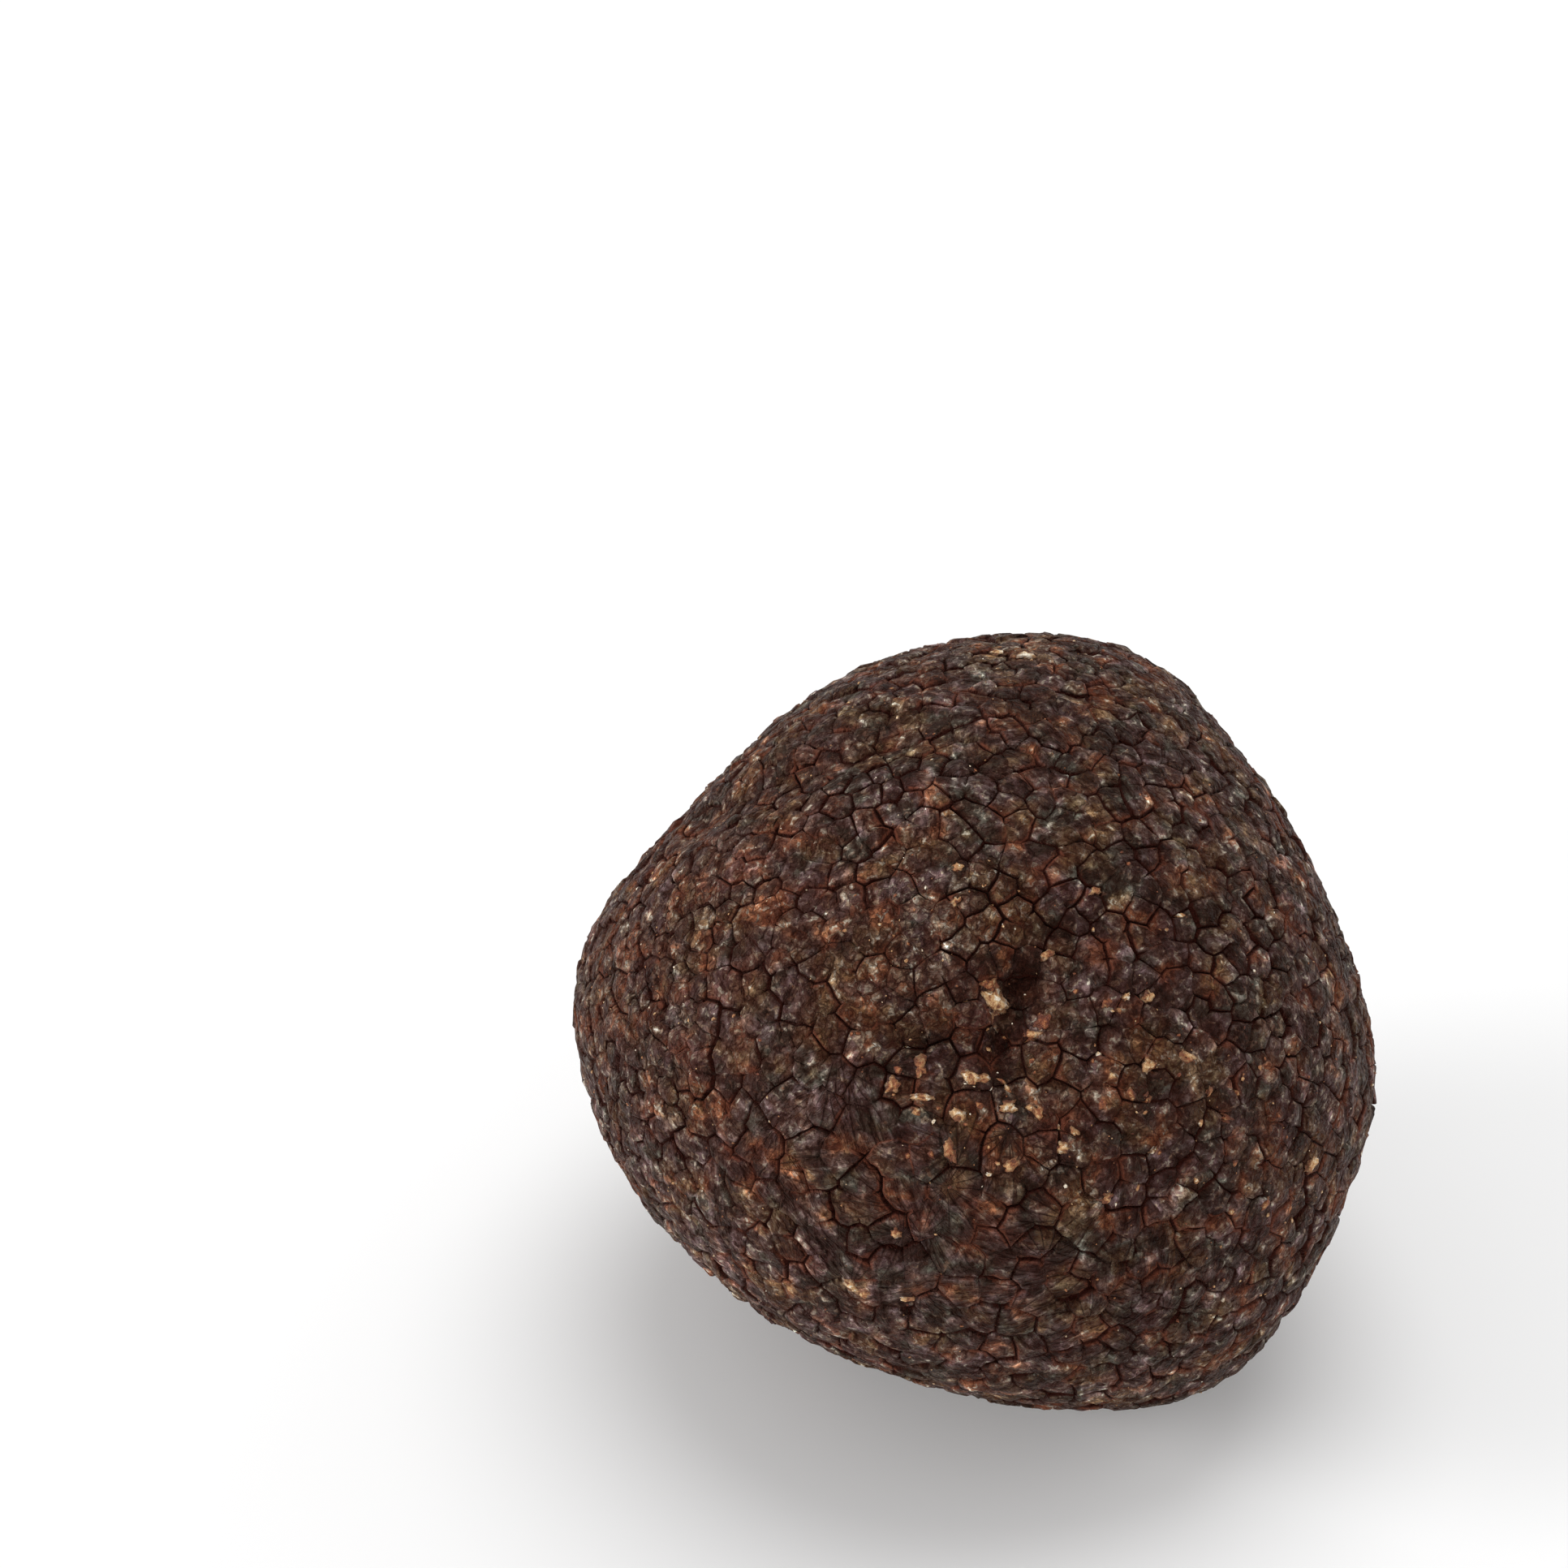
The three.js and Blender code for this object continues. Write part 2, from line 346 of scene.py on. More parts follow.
def crack_network(centres):
    """The corners where cracks meet, and the corners round each grain, anticlockwise."""
    triangles = hull_triangles(centres)
    a, b, c = (centres[triangles[:, i]] for i in range(3))
    corners = unit(np.cross(b - a, c - a))
    face_right_of = {}
    for face, triangle in enumerate(triangles):
        for i in range(3):
            face_right_of[triangle[(i + 1) % 3], triangle[i]] = face

    joined = list(range(len(corners)))

    def corner_of(face):
        while joined[face] != face:
            face = joined[face]
        return face

    following = [{} for _ in centres]
    for (head, tail), face in face_right_of.items():
        other = face_right_of[tail, head]
        gap = np.linalg.norm(corners[face] - corners[other]) * MEAN_RADIUS
        if gap < SHORTEST_CRACK:
            joined[corner_of(other)] = corner_of(face)
    for (head, tail), face in face_right_of.items():
        left = corner_of(face)
        right = corner_of(face_right_of[tail, head])
        if left != right:
            following[tail][right] = left
    outlines = []
    for links in following:
        first = next(iter(links))
        outline = [first]
        while links[outline[-1]] != first:
            outline.append(links[outline[-1]])
        outlines.append(outline)
    return corners, outlines


def noise_at(points, size, seed):
    """Smooth noise from -1 to 1, with lumps of about that size, at points in millimetres."""
    shift = Vector([seed * step for step in NOISE_SHIFT])
    return np.array([noise.noise(Vector(point) / size + shift) for point in points])


def layered_noise(points, layers, first_seed, seed_step):
    """The sum of some noises, given as size: strength."""
    return sum(strength * noise_at(points, size, first_seed + i * seed_step)
               for i, (size, strength) in enumerate(layers.items()))


def wander(points):
    """A small sideways shift at each point, which bends the cracks and the outlines of the grains."""
    return np.stack([layered_noise(points, WANDER_SIZES, seed, 0.5) for seed in WANDER_SEEDS], axis=1)


class Skin:
    """The finer skin, gathered as directions from the middle of the body and offsets from it."""

    def __init__(self, rng):
        self.rng = rng
        self.warts, self.wart_rises = scatter_warts()
        self.grains = scatter_grains(rng)
        self.wart_of = nearest(self.grains, self.warts)
        self.corners, self.outlines = crack_network(self.grains)
        self.directions = []
        self.crack = []  # how much of a crack runs here: 0 on a wart, 1 in the deepest crack
        self.sink = []   # how far down its crack a vertex is, as a share of the crack's depth
        self.grain = []  # the grain a vertex belongs to, or -1 in a crack
        self.faces = []
        self.face_grain = []
        self.build()

    def add(self, direction, crack, sink, grain):
        self.directions.append(direction)
        self.crack.append(crack)
        self.sink.append(sink)
        self.grain.append(grain)
        return len(self.directions) - 1

    def edge_strengths(self):
        """How deep each crack is, from 0 to 1. A crack is named by the corners at its two ends."""
        rng = self.rng
        between_warts = {}
        strengths = {}
        sides = {}
        for grain, outline in enumerate(self.outlines):
            for right, left in zip(outline, outline[1:] + outline[:1]):
                sides.setdefault((min(left, right), max(left, right)), []).append(grain)
        for edge in sorted(sides):
            pair = tuple(sorted(self.wart_of[grain] for grain in sides[edge]))
            if pair[0] == pair[-1]:
                strengths[edge] = rng.choice(INNER_STRENGTHS, p=INNER_SHARES)
                continue
            if pair not in between_warts:
                is_open = rng.random() > CLOSED_SHARE
                between_warts[pair] = rng.uniform(*WIDE_STRENGTHS) if is_open else CLOSED_STRENGTH
            strengths[edge] = between_warts[pair]
        return strengths

    def build(self):
        """Lays the vertices along the cracks, and fills each grain between them."""
        strengths = self.edge_strengths()
        for (a, b), strength in strengths.items():
            middle = unit(self.corners[a] + self.corners[b]) * MEAN_RADIUS
            patch = noise.noise(Vector(middle / PATCH_SIZE))
            strengths[a, b] = strength * (PATCH_STRENGTHS[0] + PATCH_STRENGTHS[1] * patch)
        corner_strength = {}
        for (a, b), strength in strengths.items():
            for corner in (a, b):
                corner_strength[corner] = max(strength, corner_strength.get(corner, 0))
        corner_vertex = {corner: self.add(self.corners[corner], strength, 1.0, -1)
                         for corner, strength in corner_strength.items()}
        edge_vertices = {edge: self.crack_vertices(edge, strength, corner_vertex, corner_strength)
                         for edge, strength in strengths.items()}
        for grain, outline in enumerate(self.outlines):
            loop = []
            for a, b in zip(outline, outline[1:] + outline[:1]):
                points = edge_vertices[min(a, b), max(a, b)]
                loop += points[:-1] if a < b else points[::-1][:-1]
            self.fill_grain(grain, loop)

    def crack_vertices(self, edge, strength, corner_vertex, corner_strength):
        """The vertices along one crack, waving between its two corners."""
        start, end = (self.corners[corner] for corner in edge)
        length = np.linalg.norm(end - start) * MEAN_RADIUS
        count = max(1, round(length / CRACK_STEP))
        sideways = unit(np.cross(start, end))
        vertices = [corner_vertex[edge[0]]]
        for i in range(1, count):
            along = i / count
            point = start + (end - start) * along
            wave = noise.noise(Vector(point * MEAN_RADIUS / WAVE_SIZE)) * CRACK_WAVE / MEAN_RADIUS
            wave *= min(1.0, 4 * along * (1 - along))
            nearer = edge[0] if along < 0.5 else edge[1]
            blend = abs(2 * along - 1) ** 3
            here = strength + (corner_strength[nearer] - strength) * blend
            vertices.append(self.add(unit(point + sideways * wave), here, 1.0, -1))
        return vertices + [corner_vertex[edge[1]]]

    def fill_grain(self, grain, loop):
        """Rings of vertices from the crack round a grain up its shoulder and over its top."""
        outline = np.array([self.directions[i] for i in loop])
        crack = np.array([self.crack[i] for i in loop])
        centre = unit(outline.mean(axis=0))
        reach = np.linalg.norm(outline - centre, axis=1) * MEAN_RADIUS
        insets = list(RING_INSETS)
        while insets[-1] + LAST_RING * RING_STEP < reach.mean():
            insets.append(insets[-1] + RING_STEP)
        fractions = np.arange(len(loop)) / len(loop)
        previous, previous_fractions = list(loop), fractions
        for ring, inset in enumerate(insets):
            narrow = NARROW[0] + NARROW[1] * inset / reach.mean()
            share = np.minimum(np.minimum(inset / reach, narrow), INNERMOST)
            points = outline + (centre - outline) * share[:, None]
            if ring < FULL_RINGS:
                chosen = np.arange(len(loop))
            else:
                around = np.linalg.norm(points - np.roll(points, 1, axis=0), axis=1).sum() * MEAN_RADIUS
                count = min(len(previous), max(FEWEST_IN_RING, round(around / RING_STEP)))
                chosen = np.unique(np.floor(np.arange(count) * len(loop) / count).astype(int))
            left = RING_SINKS[ring] if ring < len(RING_SINKS) else 0.0
            vertices = [self.add(unit(points[i]), crack[i], left, grain) for i in chosen]
            self.zip_rings(previous, previous_fractions, vertices, fractions[chosen], grain)
            previous, previous_fractions = vertices, fractions[chosen]
        middle = self.add(centre, 0.0, 0.0, grain)
        for a, b in zip(previous, previous[1:] + previous[:1]):
            self.add_face(a, b, middle, grain)

    def add_face(self, a, b, c, grain):
        self.faces.append((a, b, c))
        self.face_grain.append(grain)

    def zip_rings(self, outer, outer_at, inner, inner_at, grain):
        """Triangles between two rings, whose vertices are placed by how far round they are."""
        i = j = 0
        while i < len(outer) or j < len(inner):
            next_outer = outer_at[i + 1] if i + 1 < len(outer) else 1.0
            next_inner = inner_at[j + 1] if j + 1 < len(inner) else 1.0
            here, there = outer[i % len(outer)], inner[j % len(inner)]
            if j >= len(inner) or (i < len(outer) and next_outer <= next_inner):
                i += 1
                self.add_face(here, outer[i % len(outer)], there, grain)
            else:
                j += 1
                self.add_face(here, inner[j % len(inner)], there, grain)

    def finish(self):
        """Works out the vertices in millimetres and the values that the material reads."""
        rng = self.rng
        directions = np.array(self.directions)
        directions = unit(directions + wander(directions * MEAN_RADIUS) / MEAN_RADIUS)
        crack = np.array(self.crack)
        sink = np.array(self.sink)
        grain = np.array(self.grain)
        grain_rise = rng.uniform(-GRAIN_RISE, GRAIN_RISE, len(self.grains))
        grain_tilt = rng.normal(0, GRAIN_TILT, (len(self.grains), 3))
        wart_tilt = rng.normal(0, WART_TILT, (len(self.warts), 3))
        wart = self.wart_of[grain]
        from_grain = (directions - self.grains[grain]) * MEAN_RADIUS
        from_wart = (directions - self.warts[wart]) * MEAN_RADIUS
        own = self.wart_rises[wart] + np.einsum("ij,ij->i", wart_tilt[wart], from_wart)
        own += grain_rise[grain] + np.einsum("ij,ij->i", grain_tilt[grain], from_grain)
        own = np.where(grain < 0, 0.0, np.clip(own, *TOP_LIMITS))
        lumps = layered_noise(directions * MEAN_RADIUS, LUMP_SIZES, 1, 1)
        depth = CRACK_DEPTH * crack * sink
        radius = np.minimum(body_radius(directions) + own + lumps, floor_radius(directions)) - depth
        self.points = CENTRE + directions * radius[:, None]

        # Values at each corner of each face, so that two grains can differ along their crack
        corner_vertex = np.array(self.faces).ravel()
        corner_grain = np.repeat(self.face_grain, 3)
        corner_wart = self.wart_of[corner_grain]
        across = unit(np.cross(self.warts, unit(rng.normal(size=self.warts.shape))))
        along = np.cross(self.warts, across)
        offset = (directions[corner_vertex] - self.warts[corner_wart]) * MEAN_RADIUS
        self.corner_values = {
            "fibre_across": np.einsum("ij,ij->i", offset, across[corner_wart]),
            "fibre_along": np.einsum("ij,ij->i", offset, along[corner_wart]),
            "wart_tone": rng.random(len(self.warts))[corner_wart],
            "grain_tone": rng.random(len(self.grains))[corner_grain],
        }
        self.point_values = {
            # On a grain's shoulder the crack value is partly painted shade, deeper towards the crack
            "crack": crack * np.where(grain < 0, 1.0, sink * SHOULDER_SHADE),
            "rusty": fields(directions, RUSTY_ZONES),
            "pale": fields(directions, PALE_ZONES),
            "plated": fields(directions, PLATED_ZONES),
            "light": fields(directions, PAINTED_LIGHT_AND_TONE_ZONES),
            "stain": np.clip(furrow_depth(directions) - PAINTED_FURROW_SHADE[0], 0.0, PAINTED_FURROW_SHADE[1]),
        }


# ---- Crumbs and flakes ----
CRUMB_SEED = 977
CRUMB_TRIES = 5200
LOWEST_CRUMB = -0.8  # height on a sphere of radius 1: none on the underside
CRUMB_CHANCE = 0.12  # how many of the tries are kept,
PALE_CHANCE = 0.5  # how many more in the pale zones,
RUBBLE_CHANCE = 0.3  # and in the rubble zones
CRUMB_SIZES = (0.14, 0.42)
RUBBLE_SIZE = 0.75  # what rubble adds to the largest size
SMALLER_POWER = 2.5  # the higher, the fewer large crumbs there are
CRUMB_WIDTHS = (0.5, 0.4)  # against the length: the least, and the range above it
CRUMB_TONES = (0.75, 0.15)  # the range of tones, and what a pale zone adds
GLINT_CRUMB = (0.93, 0.95, 1.3)  # the draw above which one is white, a painted glint, its tone and its size
CRUMB_TURN = 40  # radians for a draw of 1: some turns, so any way round
RAGGED = {1.6: 0.75, 4.0: 0.375}  # bumps per radius, and how high they are against it
FLAKE_THICKNESS = (0.05, 0.22)  # the least, and what each millimetre of width adds
FLAKE_SINK = 0.3  # how far a flake is sunk, against its thickness
FLAKE_BEND = 0.12  # how far its ends bend down, against its width
FLAKE_LEAN = 0.6  # how far it turns from the skin's slope to the body's own

# Flakes: azimuth, elevation, length, width, turn of the length from east towards up, tone. A tone
# runs from 0, rust, through tan and pink to 1, nearly white.
FLAKES = {
    "pale chip beside the pit": (-86, 44, 2.6, 1.4, -60, 0.7),
    "brown end of the chip": (-87, 46.4, 1.5, 1.0, -30, 0.34),
    "rust below the pit": (-76, 40, 1.5, 0.9, 20, 0.12),
    "left of the crease": (-99, 33, 1.3, 0.8, -80, 0.5),
    "below the crease": (-90, 32, 1.6, 0.8, -35, 0.6),
    "below the crease, right": (-88, 32, 0.9, 0.7, 20, 0.5),
    "leaning": (-92, 27, 1.5, 0.7, -50, 0.62),
    "lying": (-98, 29, 1.5, 0.5, 5, 0.58),
    "above right of the pit": (-73, 50, 1.0, 0.5, 20, 0.5),
    "pink, right": (-56, 40, 1.0, 0.7, 0, 0.66),
    "small, right": (-60, 41, 0.6, 0.5, 0, 0.74),
    "orange, right": (-64, 41, 0.8, 0.5, 30, 0.3),
    "grey granule": (-60, 31, 1.2, 0.8, 60, 0.55),
    "tan, far right": (-53, 30, 1.4, 0.7, -35, 0.48),
    "upright orange": (-51, 24, 1.2, 0.5, -70, 0.34),
    "curved orange": (-50, 20, 1.6, 0.6, -30, 0.28),
    "pale, lower right": (-62, 19, 0.9, 0.5, -20, 0.84),
    "tan below the hollow": (-76, 22, 1.1, 0.8, -30, 0.62),
    "slip below the hollow": (-74, 24, 0.9, 0.4, -50, 0.6),
    "above the hollow": (-97, 63, 1.0, 0.6, 20, 0.55),
    "above the hollow, lower": (-96, 58, 1.0, 0.6, 60, 0.5),
    "upper right": (-57, 57, 1.0, 0.5, 10, 0.5),
    "upper right, further": (-40, 48, 0.8, 0.4, -40, 0.6),
    "lower front": (-106, -2, 1.4, 0.7, -40, 0.7),
    "lower front, right": (-104, -3, 0.9, 0.6, 10, 0.58),
    "curl on the lower front": (-98, -3, 1.5, 0.5, 0, 0.66),
    "middle of the plates": (-100, 9, 0.9, 0.7, 30, 0.5),
    "crown": (74, 68, 1.4, 0.7, 20, 0.8),
    "crown, left": (86, 66, 1.1, 0.5, -10, 0.72),
    "right edge": (-34, 4, 1.4, 0.8, 50, 0.56),
    "right edge, lower": (-45, 4, 1.0, 0.5, 40, 0.36),
    "edge of the crease": (-79, 38, 1.7, 0.8, 10, 0.4),
    "under the crease, left": (-103, 30, 1.3, 0.9, 60, 0.44),
    "under the crease, middle": (-84, 28, 1.5, 0.8, 0, 0.46),
    "under the crease, right": (-79, 27, 1.2, 0.8, -60, 0.36),
    "above the plates": (-93, 22, 1.4, 0.7, -70, 0.42),
    "above the plates, right": (-84, 20, 1.3, 0.8, 30, 0.5),
    "right of the plates": (-70, 14, 1.2, 0.7, -20, 0.44),
    "middle right": (-62, 26, 1.3, 0.8, 70, 0.42),
    "behind": (96, 20, 1.6, 0.8, 40, 0.6),
    "behind, lower": (120, -4, 1.3, 0.7, -20, 0.5),
    "behind, right": (40, 30, 1.4, 0.7, 10, 0.66),
}


def ball(subdivisions):
    """The vertices and the faces of an icosphere of radius 1."""
    mesh = bmesh.new()
    bmesh.ops.create_icosphere(mesh, subdivisions=subdivisions, radius=1.0)
    points = np.array([vertex.co[:] for vertex in mesh.verts])
    faces = np.array([[vertex.index for vertex in face.verts] for face in mesh.faces])
    mesh.free()
    return points, faces


class Crumbs:
    """Small flat lumps that lie half sunk in the skin."""

    def __init__(self, rng, tree):
        self.rng = rng
        self.tree = tree
        self.points = []
        self.faces = []
        self.tones = []
        self.rims = []
        self.count = 0
        fine = ball(3)
        for azimuth, elevation, length, width, turn, tone in FLAKES.values():
            self.lay(direction_of(azimuth, elevation), length, width, math.radians(turn), tone, fine)
        self.sprinkle(ball(1))

    def sprinkle(self, shape):
        """Crumbs at seeded places, more of them in the pale and rubble zones."""
        rng = self.rng
        directions = sphere_points(rng.uniform(LOWEST_CRUMB, 1, CRUMB_TRIES),
                                   rng.uniform(0, 2 * math.pi, CRUMB_TRIES))
        pale = fields(directions, PALE_ZONES)
        rubble = fields(directions, RUBBLE_ZONES)
        chance = CRUMB_CHANCE + PALE_CHANCE * np.clip(pale, 0, 1) + RUBBLE_CHANCE * rubble
        for direction, likely, zone, rough in zip(directions, chance, pale, rubble):
            keep, large, colour, turn, wide = rng.random(5)
            if keep > likely:
                continue
            smallest, largest = CRUMB_SIZES
            largest += RUBBLE_SIZE * rough
            length = smallest + (largest - smallest) * large ** SMALLER_POWER
            tone = min(1.0, colour * CRUMB_TONES[0] + CRUMB_TONES[1] * zone)
            # Some crumbs are small white grains that stand as painted glints
            if turn > GLINT_CRUMB[0]:
                tone, length = GLINT_CRUMB[1], smallest * GLINT_CRUMB[2]
            width = length * (CRUMB_WIDTHS[0] + CRUMB_WIDTHS[1] * wide)
            self.lay(direction, length, width, turn * CRUMB_TURN, tone, shape)

    def lay(self, direction, length, width, turn, tone, shape):
        """One flake at the place where the skin lies in a direction."""
        sphere, faces = shape
        rng = self.rng
        start = CENTRE + direction * 2 * MEAN_RADIUS  # well outside the body
        place, normal, _, _ = self.tree.ray_cast(Vector(start), Vector(-direction))
        normal = unit(np.array(normal) + FLAKE_LEAN * direction)
        east = unit(np.cross([0, 0, 1], direction))
        up = np.cross(direction, east)
        along = east * math.cos(turn) + up * math.sin(turn)
        along = unit(along - normal * (along @ normal))
        across = np.cross(normal, along)
        thickness = FLAKE_THICKNESS[0] + FLAKE_THICKNESS[1] * width
        shift = rng.uniform(-50, 50, 3)
        ragged = np.ones(len(sphere))
        for (per_radius, height), side in zip(RAGGED.items(), (1, -1)):
            ragged += height * np.array([noise.noise(Vector(point * per_radius + side * shift))
                                         for point in sphere])
        lump = sphere * ragged[:, None]
        rise = (lump[:, 2] - FLAKE_SINK) * thickness - FLAKE_BEND * width * lump[:, 0] ** 2
        points = (np.array(place) + np.outer(lump[:, 0] * length / 2, along)
                  + np.outer(lump[:, 1] * width / 2, across) + np.outer(rise, normal))
        self.points.append(points)
        self.faces.append(faces + self.count)
        self.tones += [tone] * len(points)
        self.rims += list(np.hypot(sphere[:, 0], sphere[:, 1]))
        self.count += len(points)


def make_mesh(name, points, faces):
    """An object in metres from points in millimetres."""
    mesh = bpy.data.meshes.new(name)
    mesh.from_pydata(points * MM, [], faces)
    mesh.validate()
    mesh.shade_smooth()
    obj = bpy.data.objects.new(name, mesh)
    bpy.context.scene.collection.objects.link(obj)
    return obj


def set_attribute(obj, name, domain, values):
    attribute = obj.data.attributes.new(name, "FLOAT", domain)
    attribute.data.foreach_set("value", np.asarray(values, np.float32))


# ---- The picture: camera, floor and light ----
PHOTO_SIZE = 1932  # pixels each way
AIM_PIXEL = (1200, 1262)  # where the middle of the body shows in the photograph
LENS = 100.0
SENSOR = 36.0
NEAREST_SHOWN = 10.0
CAMERA_ELEVATION = 40.0
CAMERA_DISTANCE = 300.0  # from the middle of the body

# Lights: azimuth and elevation from the middle of the body, width in metres, watts
LIGHTS = {
    "Key": (70, 78, 0.9, 6.0),
    "Left": (-173, 14, 0.4, 9.0),
    "Front": (-90, 14, 0.4, 2.6),
    "Back": (35, 16, 0.9, 3.2),
}
LIGHT_DISTANCE = 1.2  # metres
SURROUNDING_LIGHT = 0.54
FLOOR_SIZE = 4.0  # metres
FLOOR_COLOUR = (0.93, 0.93, 0.93, 1)


def make_camera():
    """A camera that looks down on the truffle and shows its middle at AIM_PIXEL."""
    focal = PHOTO_SIZE * LENS / SENSOR
    aim = (AIM_PIXEL[0] - PHOTO_SIZE / 2, PHOTO_SIZE / 2 - AIM_PIXEL[1], focal)
    a, b, c = Vector(aim).normalized()
    pitch = math.asin(math.sin(math.radians(CAMERA_ELEVATION)) / math.hypot(b, c)) + math.atan2(b, c)
    yaw = math.pi / 2 - math.atan2(b * math.sin(pitch) + c * math.cos(pitch), a)
    right = Vector((math.cos(yaw), math.sin(yaw), 0))
    forward = Vector((-math.sin(yaw) * math.cos(pitch), math.cos(yaw) * math.cos(pitch), -math.sin(pitch)))
    up = right.cross(forward)
    ray = a * right + b * up + c * forward
    data = bpy.data.cameras.new("Camera")
    data.lens = LENS
    data.sensor_width = SENSOR
    data.clip_start = NEAREST_SHOWN * MM
    camera = bpy.data.objects.new("Camera", data)
    place = Vector(CENTRE * MM) - ray * CAMERA_DISTANCE * MM
    turn = Matrix((right, up, -forward)).transposed().to_4x4()
    camera.matrix_world = Matrix.Translation(place) @ turn
    bpy.context.scene.collection.objects.link(camera)
    bpy.context.scene.camera = camera


def make_light(name, azimuth, elevation, size, watts):
    """A round soft light that faces the middle of the body."""
    data = bpy.data.lights.new(name, "AREA")
    data.shape = "DISK"
    data.size = size
    data.energy = watts
    light = bpy.data.objects.new(name, data)
    towards = Vector(direction_of(azimuth, elevation))
    place = Vector(CENTRE * MM) + towards * LIGHT_DISTANCE
    turn = towards.to_track_quat("Z", "Y").to_matrix().to_4x4()
    light.matrix_world = Matrix.Translation(place) @ turn
    bpy.context.scene.collection.objects.link(light)


def make_floor():
    """A plain pale floor under the truffle."""
    bpy.ops.mesh.primitive_plane_add(size=FLOOR_SIZE)
    floor = bpy.context.object
    floor.name = "Floor"
    nodes = Nodes("Pale floor")
    nodes.set_shader(Base_Color=FLOOR_COLOUR, Roughness=0.9, Specular_IOR_Level=0.1)
    floor.data.materials.append(nodes.material)


def make_studio():
    """Even white light from all round, and the lights."""
    world = bpy.data.worlds.new("Studio")
    world.use_nodes = True
    background = world.node_tree.nodes["Background"]
    background.inputs["Color"].default_value = (1, 1, 1, 1)
    background.inputs["Strength"].default_value = SURROUNDING_LIGHT
    bpy.context.scene.world = world
    for name, light in LIGHTS.items():
        make_light(name, *light)
    bpy.context.scene.view_settings.view_transform = "Standard"


# ---- Materials ----
# Colours from 0 to 255, as a picture shows them. The first are picked by hue
SKIN_COLOURS = [
    (0.44, (92, 79, 68)),
    (0.58, (108, 79, 74)),
    (0.70, (116, 81, 71)),
    (0.82, (128, 81, 63)),
    (0.96, (150, 85, 57)),
]
OCHRE = (126, 88, 57)
PLUM = (110, 76, 77)
TAN_SCRAP = (165, 128, 104)
PALE_SCRAP = (236, 210, 192)
PAINTED_GLINT = (182, 154, 134)
PAINTED_DIP_SHADE = (50, 20, 14)
CRACK_LINING = (108, 58, 42)
CRACK_FLOOR = (46, 14, 9)
CRUMB_COLOURS = [
    (0.00, (96, 46, 30)),
    (0.28, (146, 84, 50)),
    (0.50, (174, 122, 80)),
    (0.75, (216, 176, 126)),
    (1.00, (248, 236, 214)),
]
CRUMB_RIM = (88, 46, 32)
CRUMB_STREAK = (96, 58, 42)

# The skin's noises: bent or not, waves per millimetre, detail, roughness, distortion
SKIN_NOISES = {
    "patches": (False, 0.3, 3.0, 0.6, 0.0),
    "blotches": (True, 0.85, 2.0, 0.55, 0.0),
    "lumps": (False, 0.95, 3.0, 0.6, 0.5),
    "grit": (False, 3.0, 3.0, 0.6, 0.0),
    "hue": (True, 0.42, 1.0, 0.6, 0.0),
    "warmth": (True, 0.3, 2.0, 0.6, 0.0),
    "scraps": (True, 0.8, 3.0, 0.68, 0.3),
    "specks": (True, 2.2, 2.0, 0.5, 0.0),
}
GRANULES_PER_MM = 1.25
FLECKS_PER_MM = 2.3
FAN_START = 2.8  # the grooves of a plate fan out from this far to one side of its middle

SKIN_TONE = -1.26  # stops from the colours above to the skin's middle tone
# Dark parts are redder and light parts greyer: what a stop more multiplies red, green and blue by
STOP_TINT = {"X": 0.83, "Y": 1.05, "Z": 1.12}
TINT_SHIFT = 0.14  # stops
LIGHT_TINT = (0.4, 0.35)  # in light parts the tint grows more slowly: its start and its rate


def srgb(colour):
    """A linear colour with alpha, from 0 to 255 values as a picture shows them."""
    values = np.array(colour) / 255
    linear = np.where(values <= 0.04045, values / 12.92, ((values + 0.055) / 1.055) ** 2.4)
    return (*(float(value) for value in linear), 1.0)


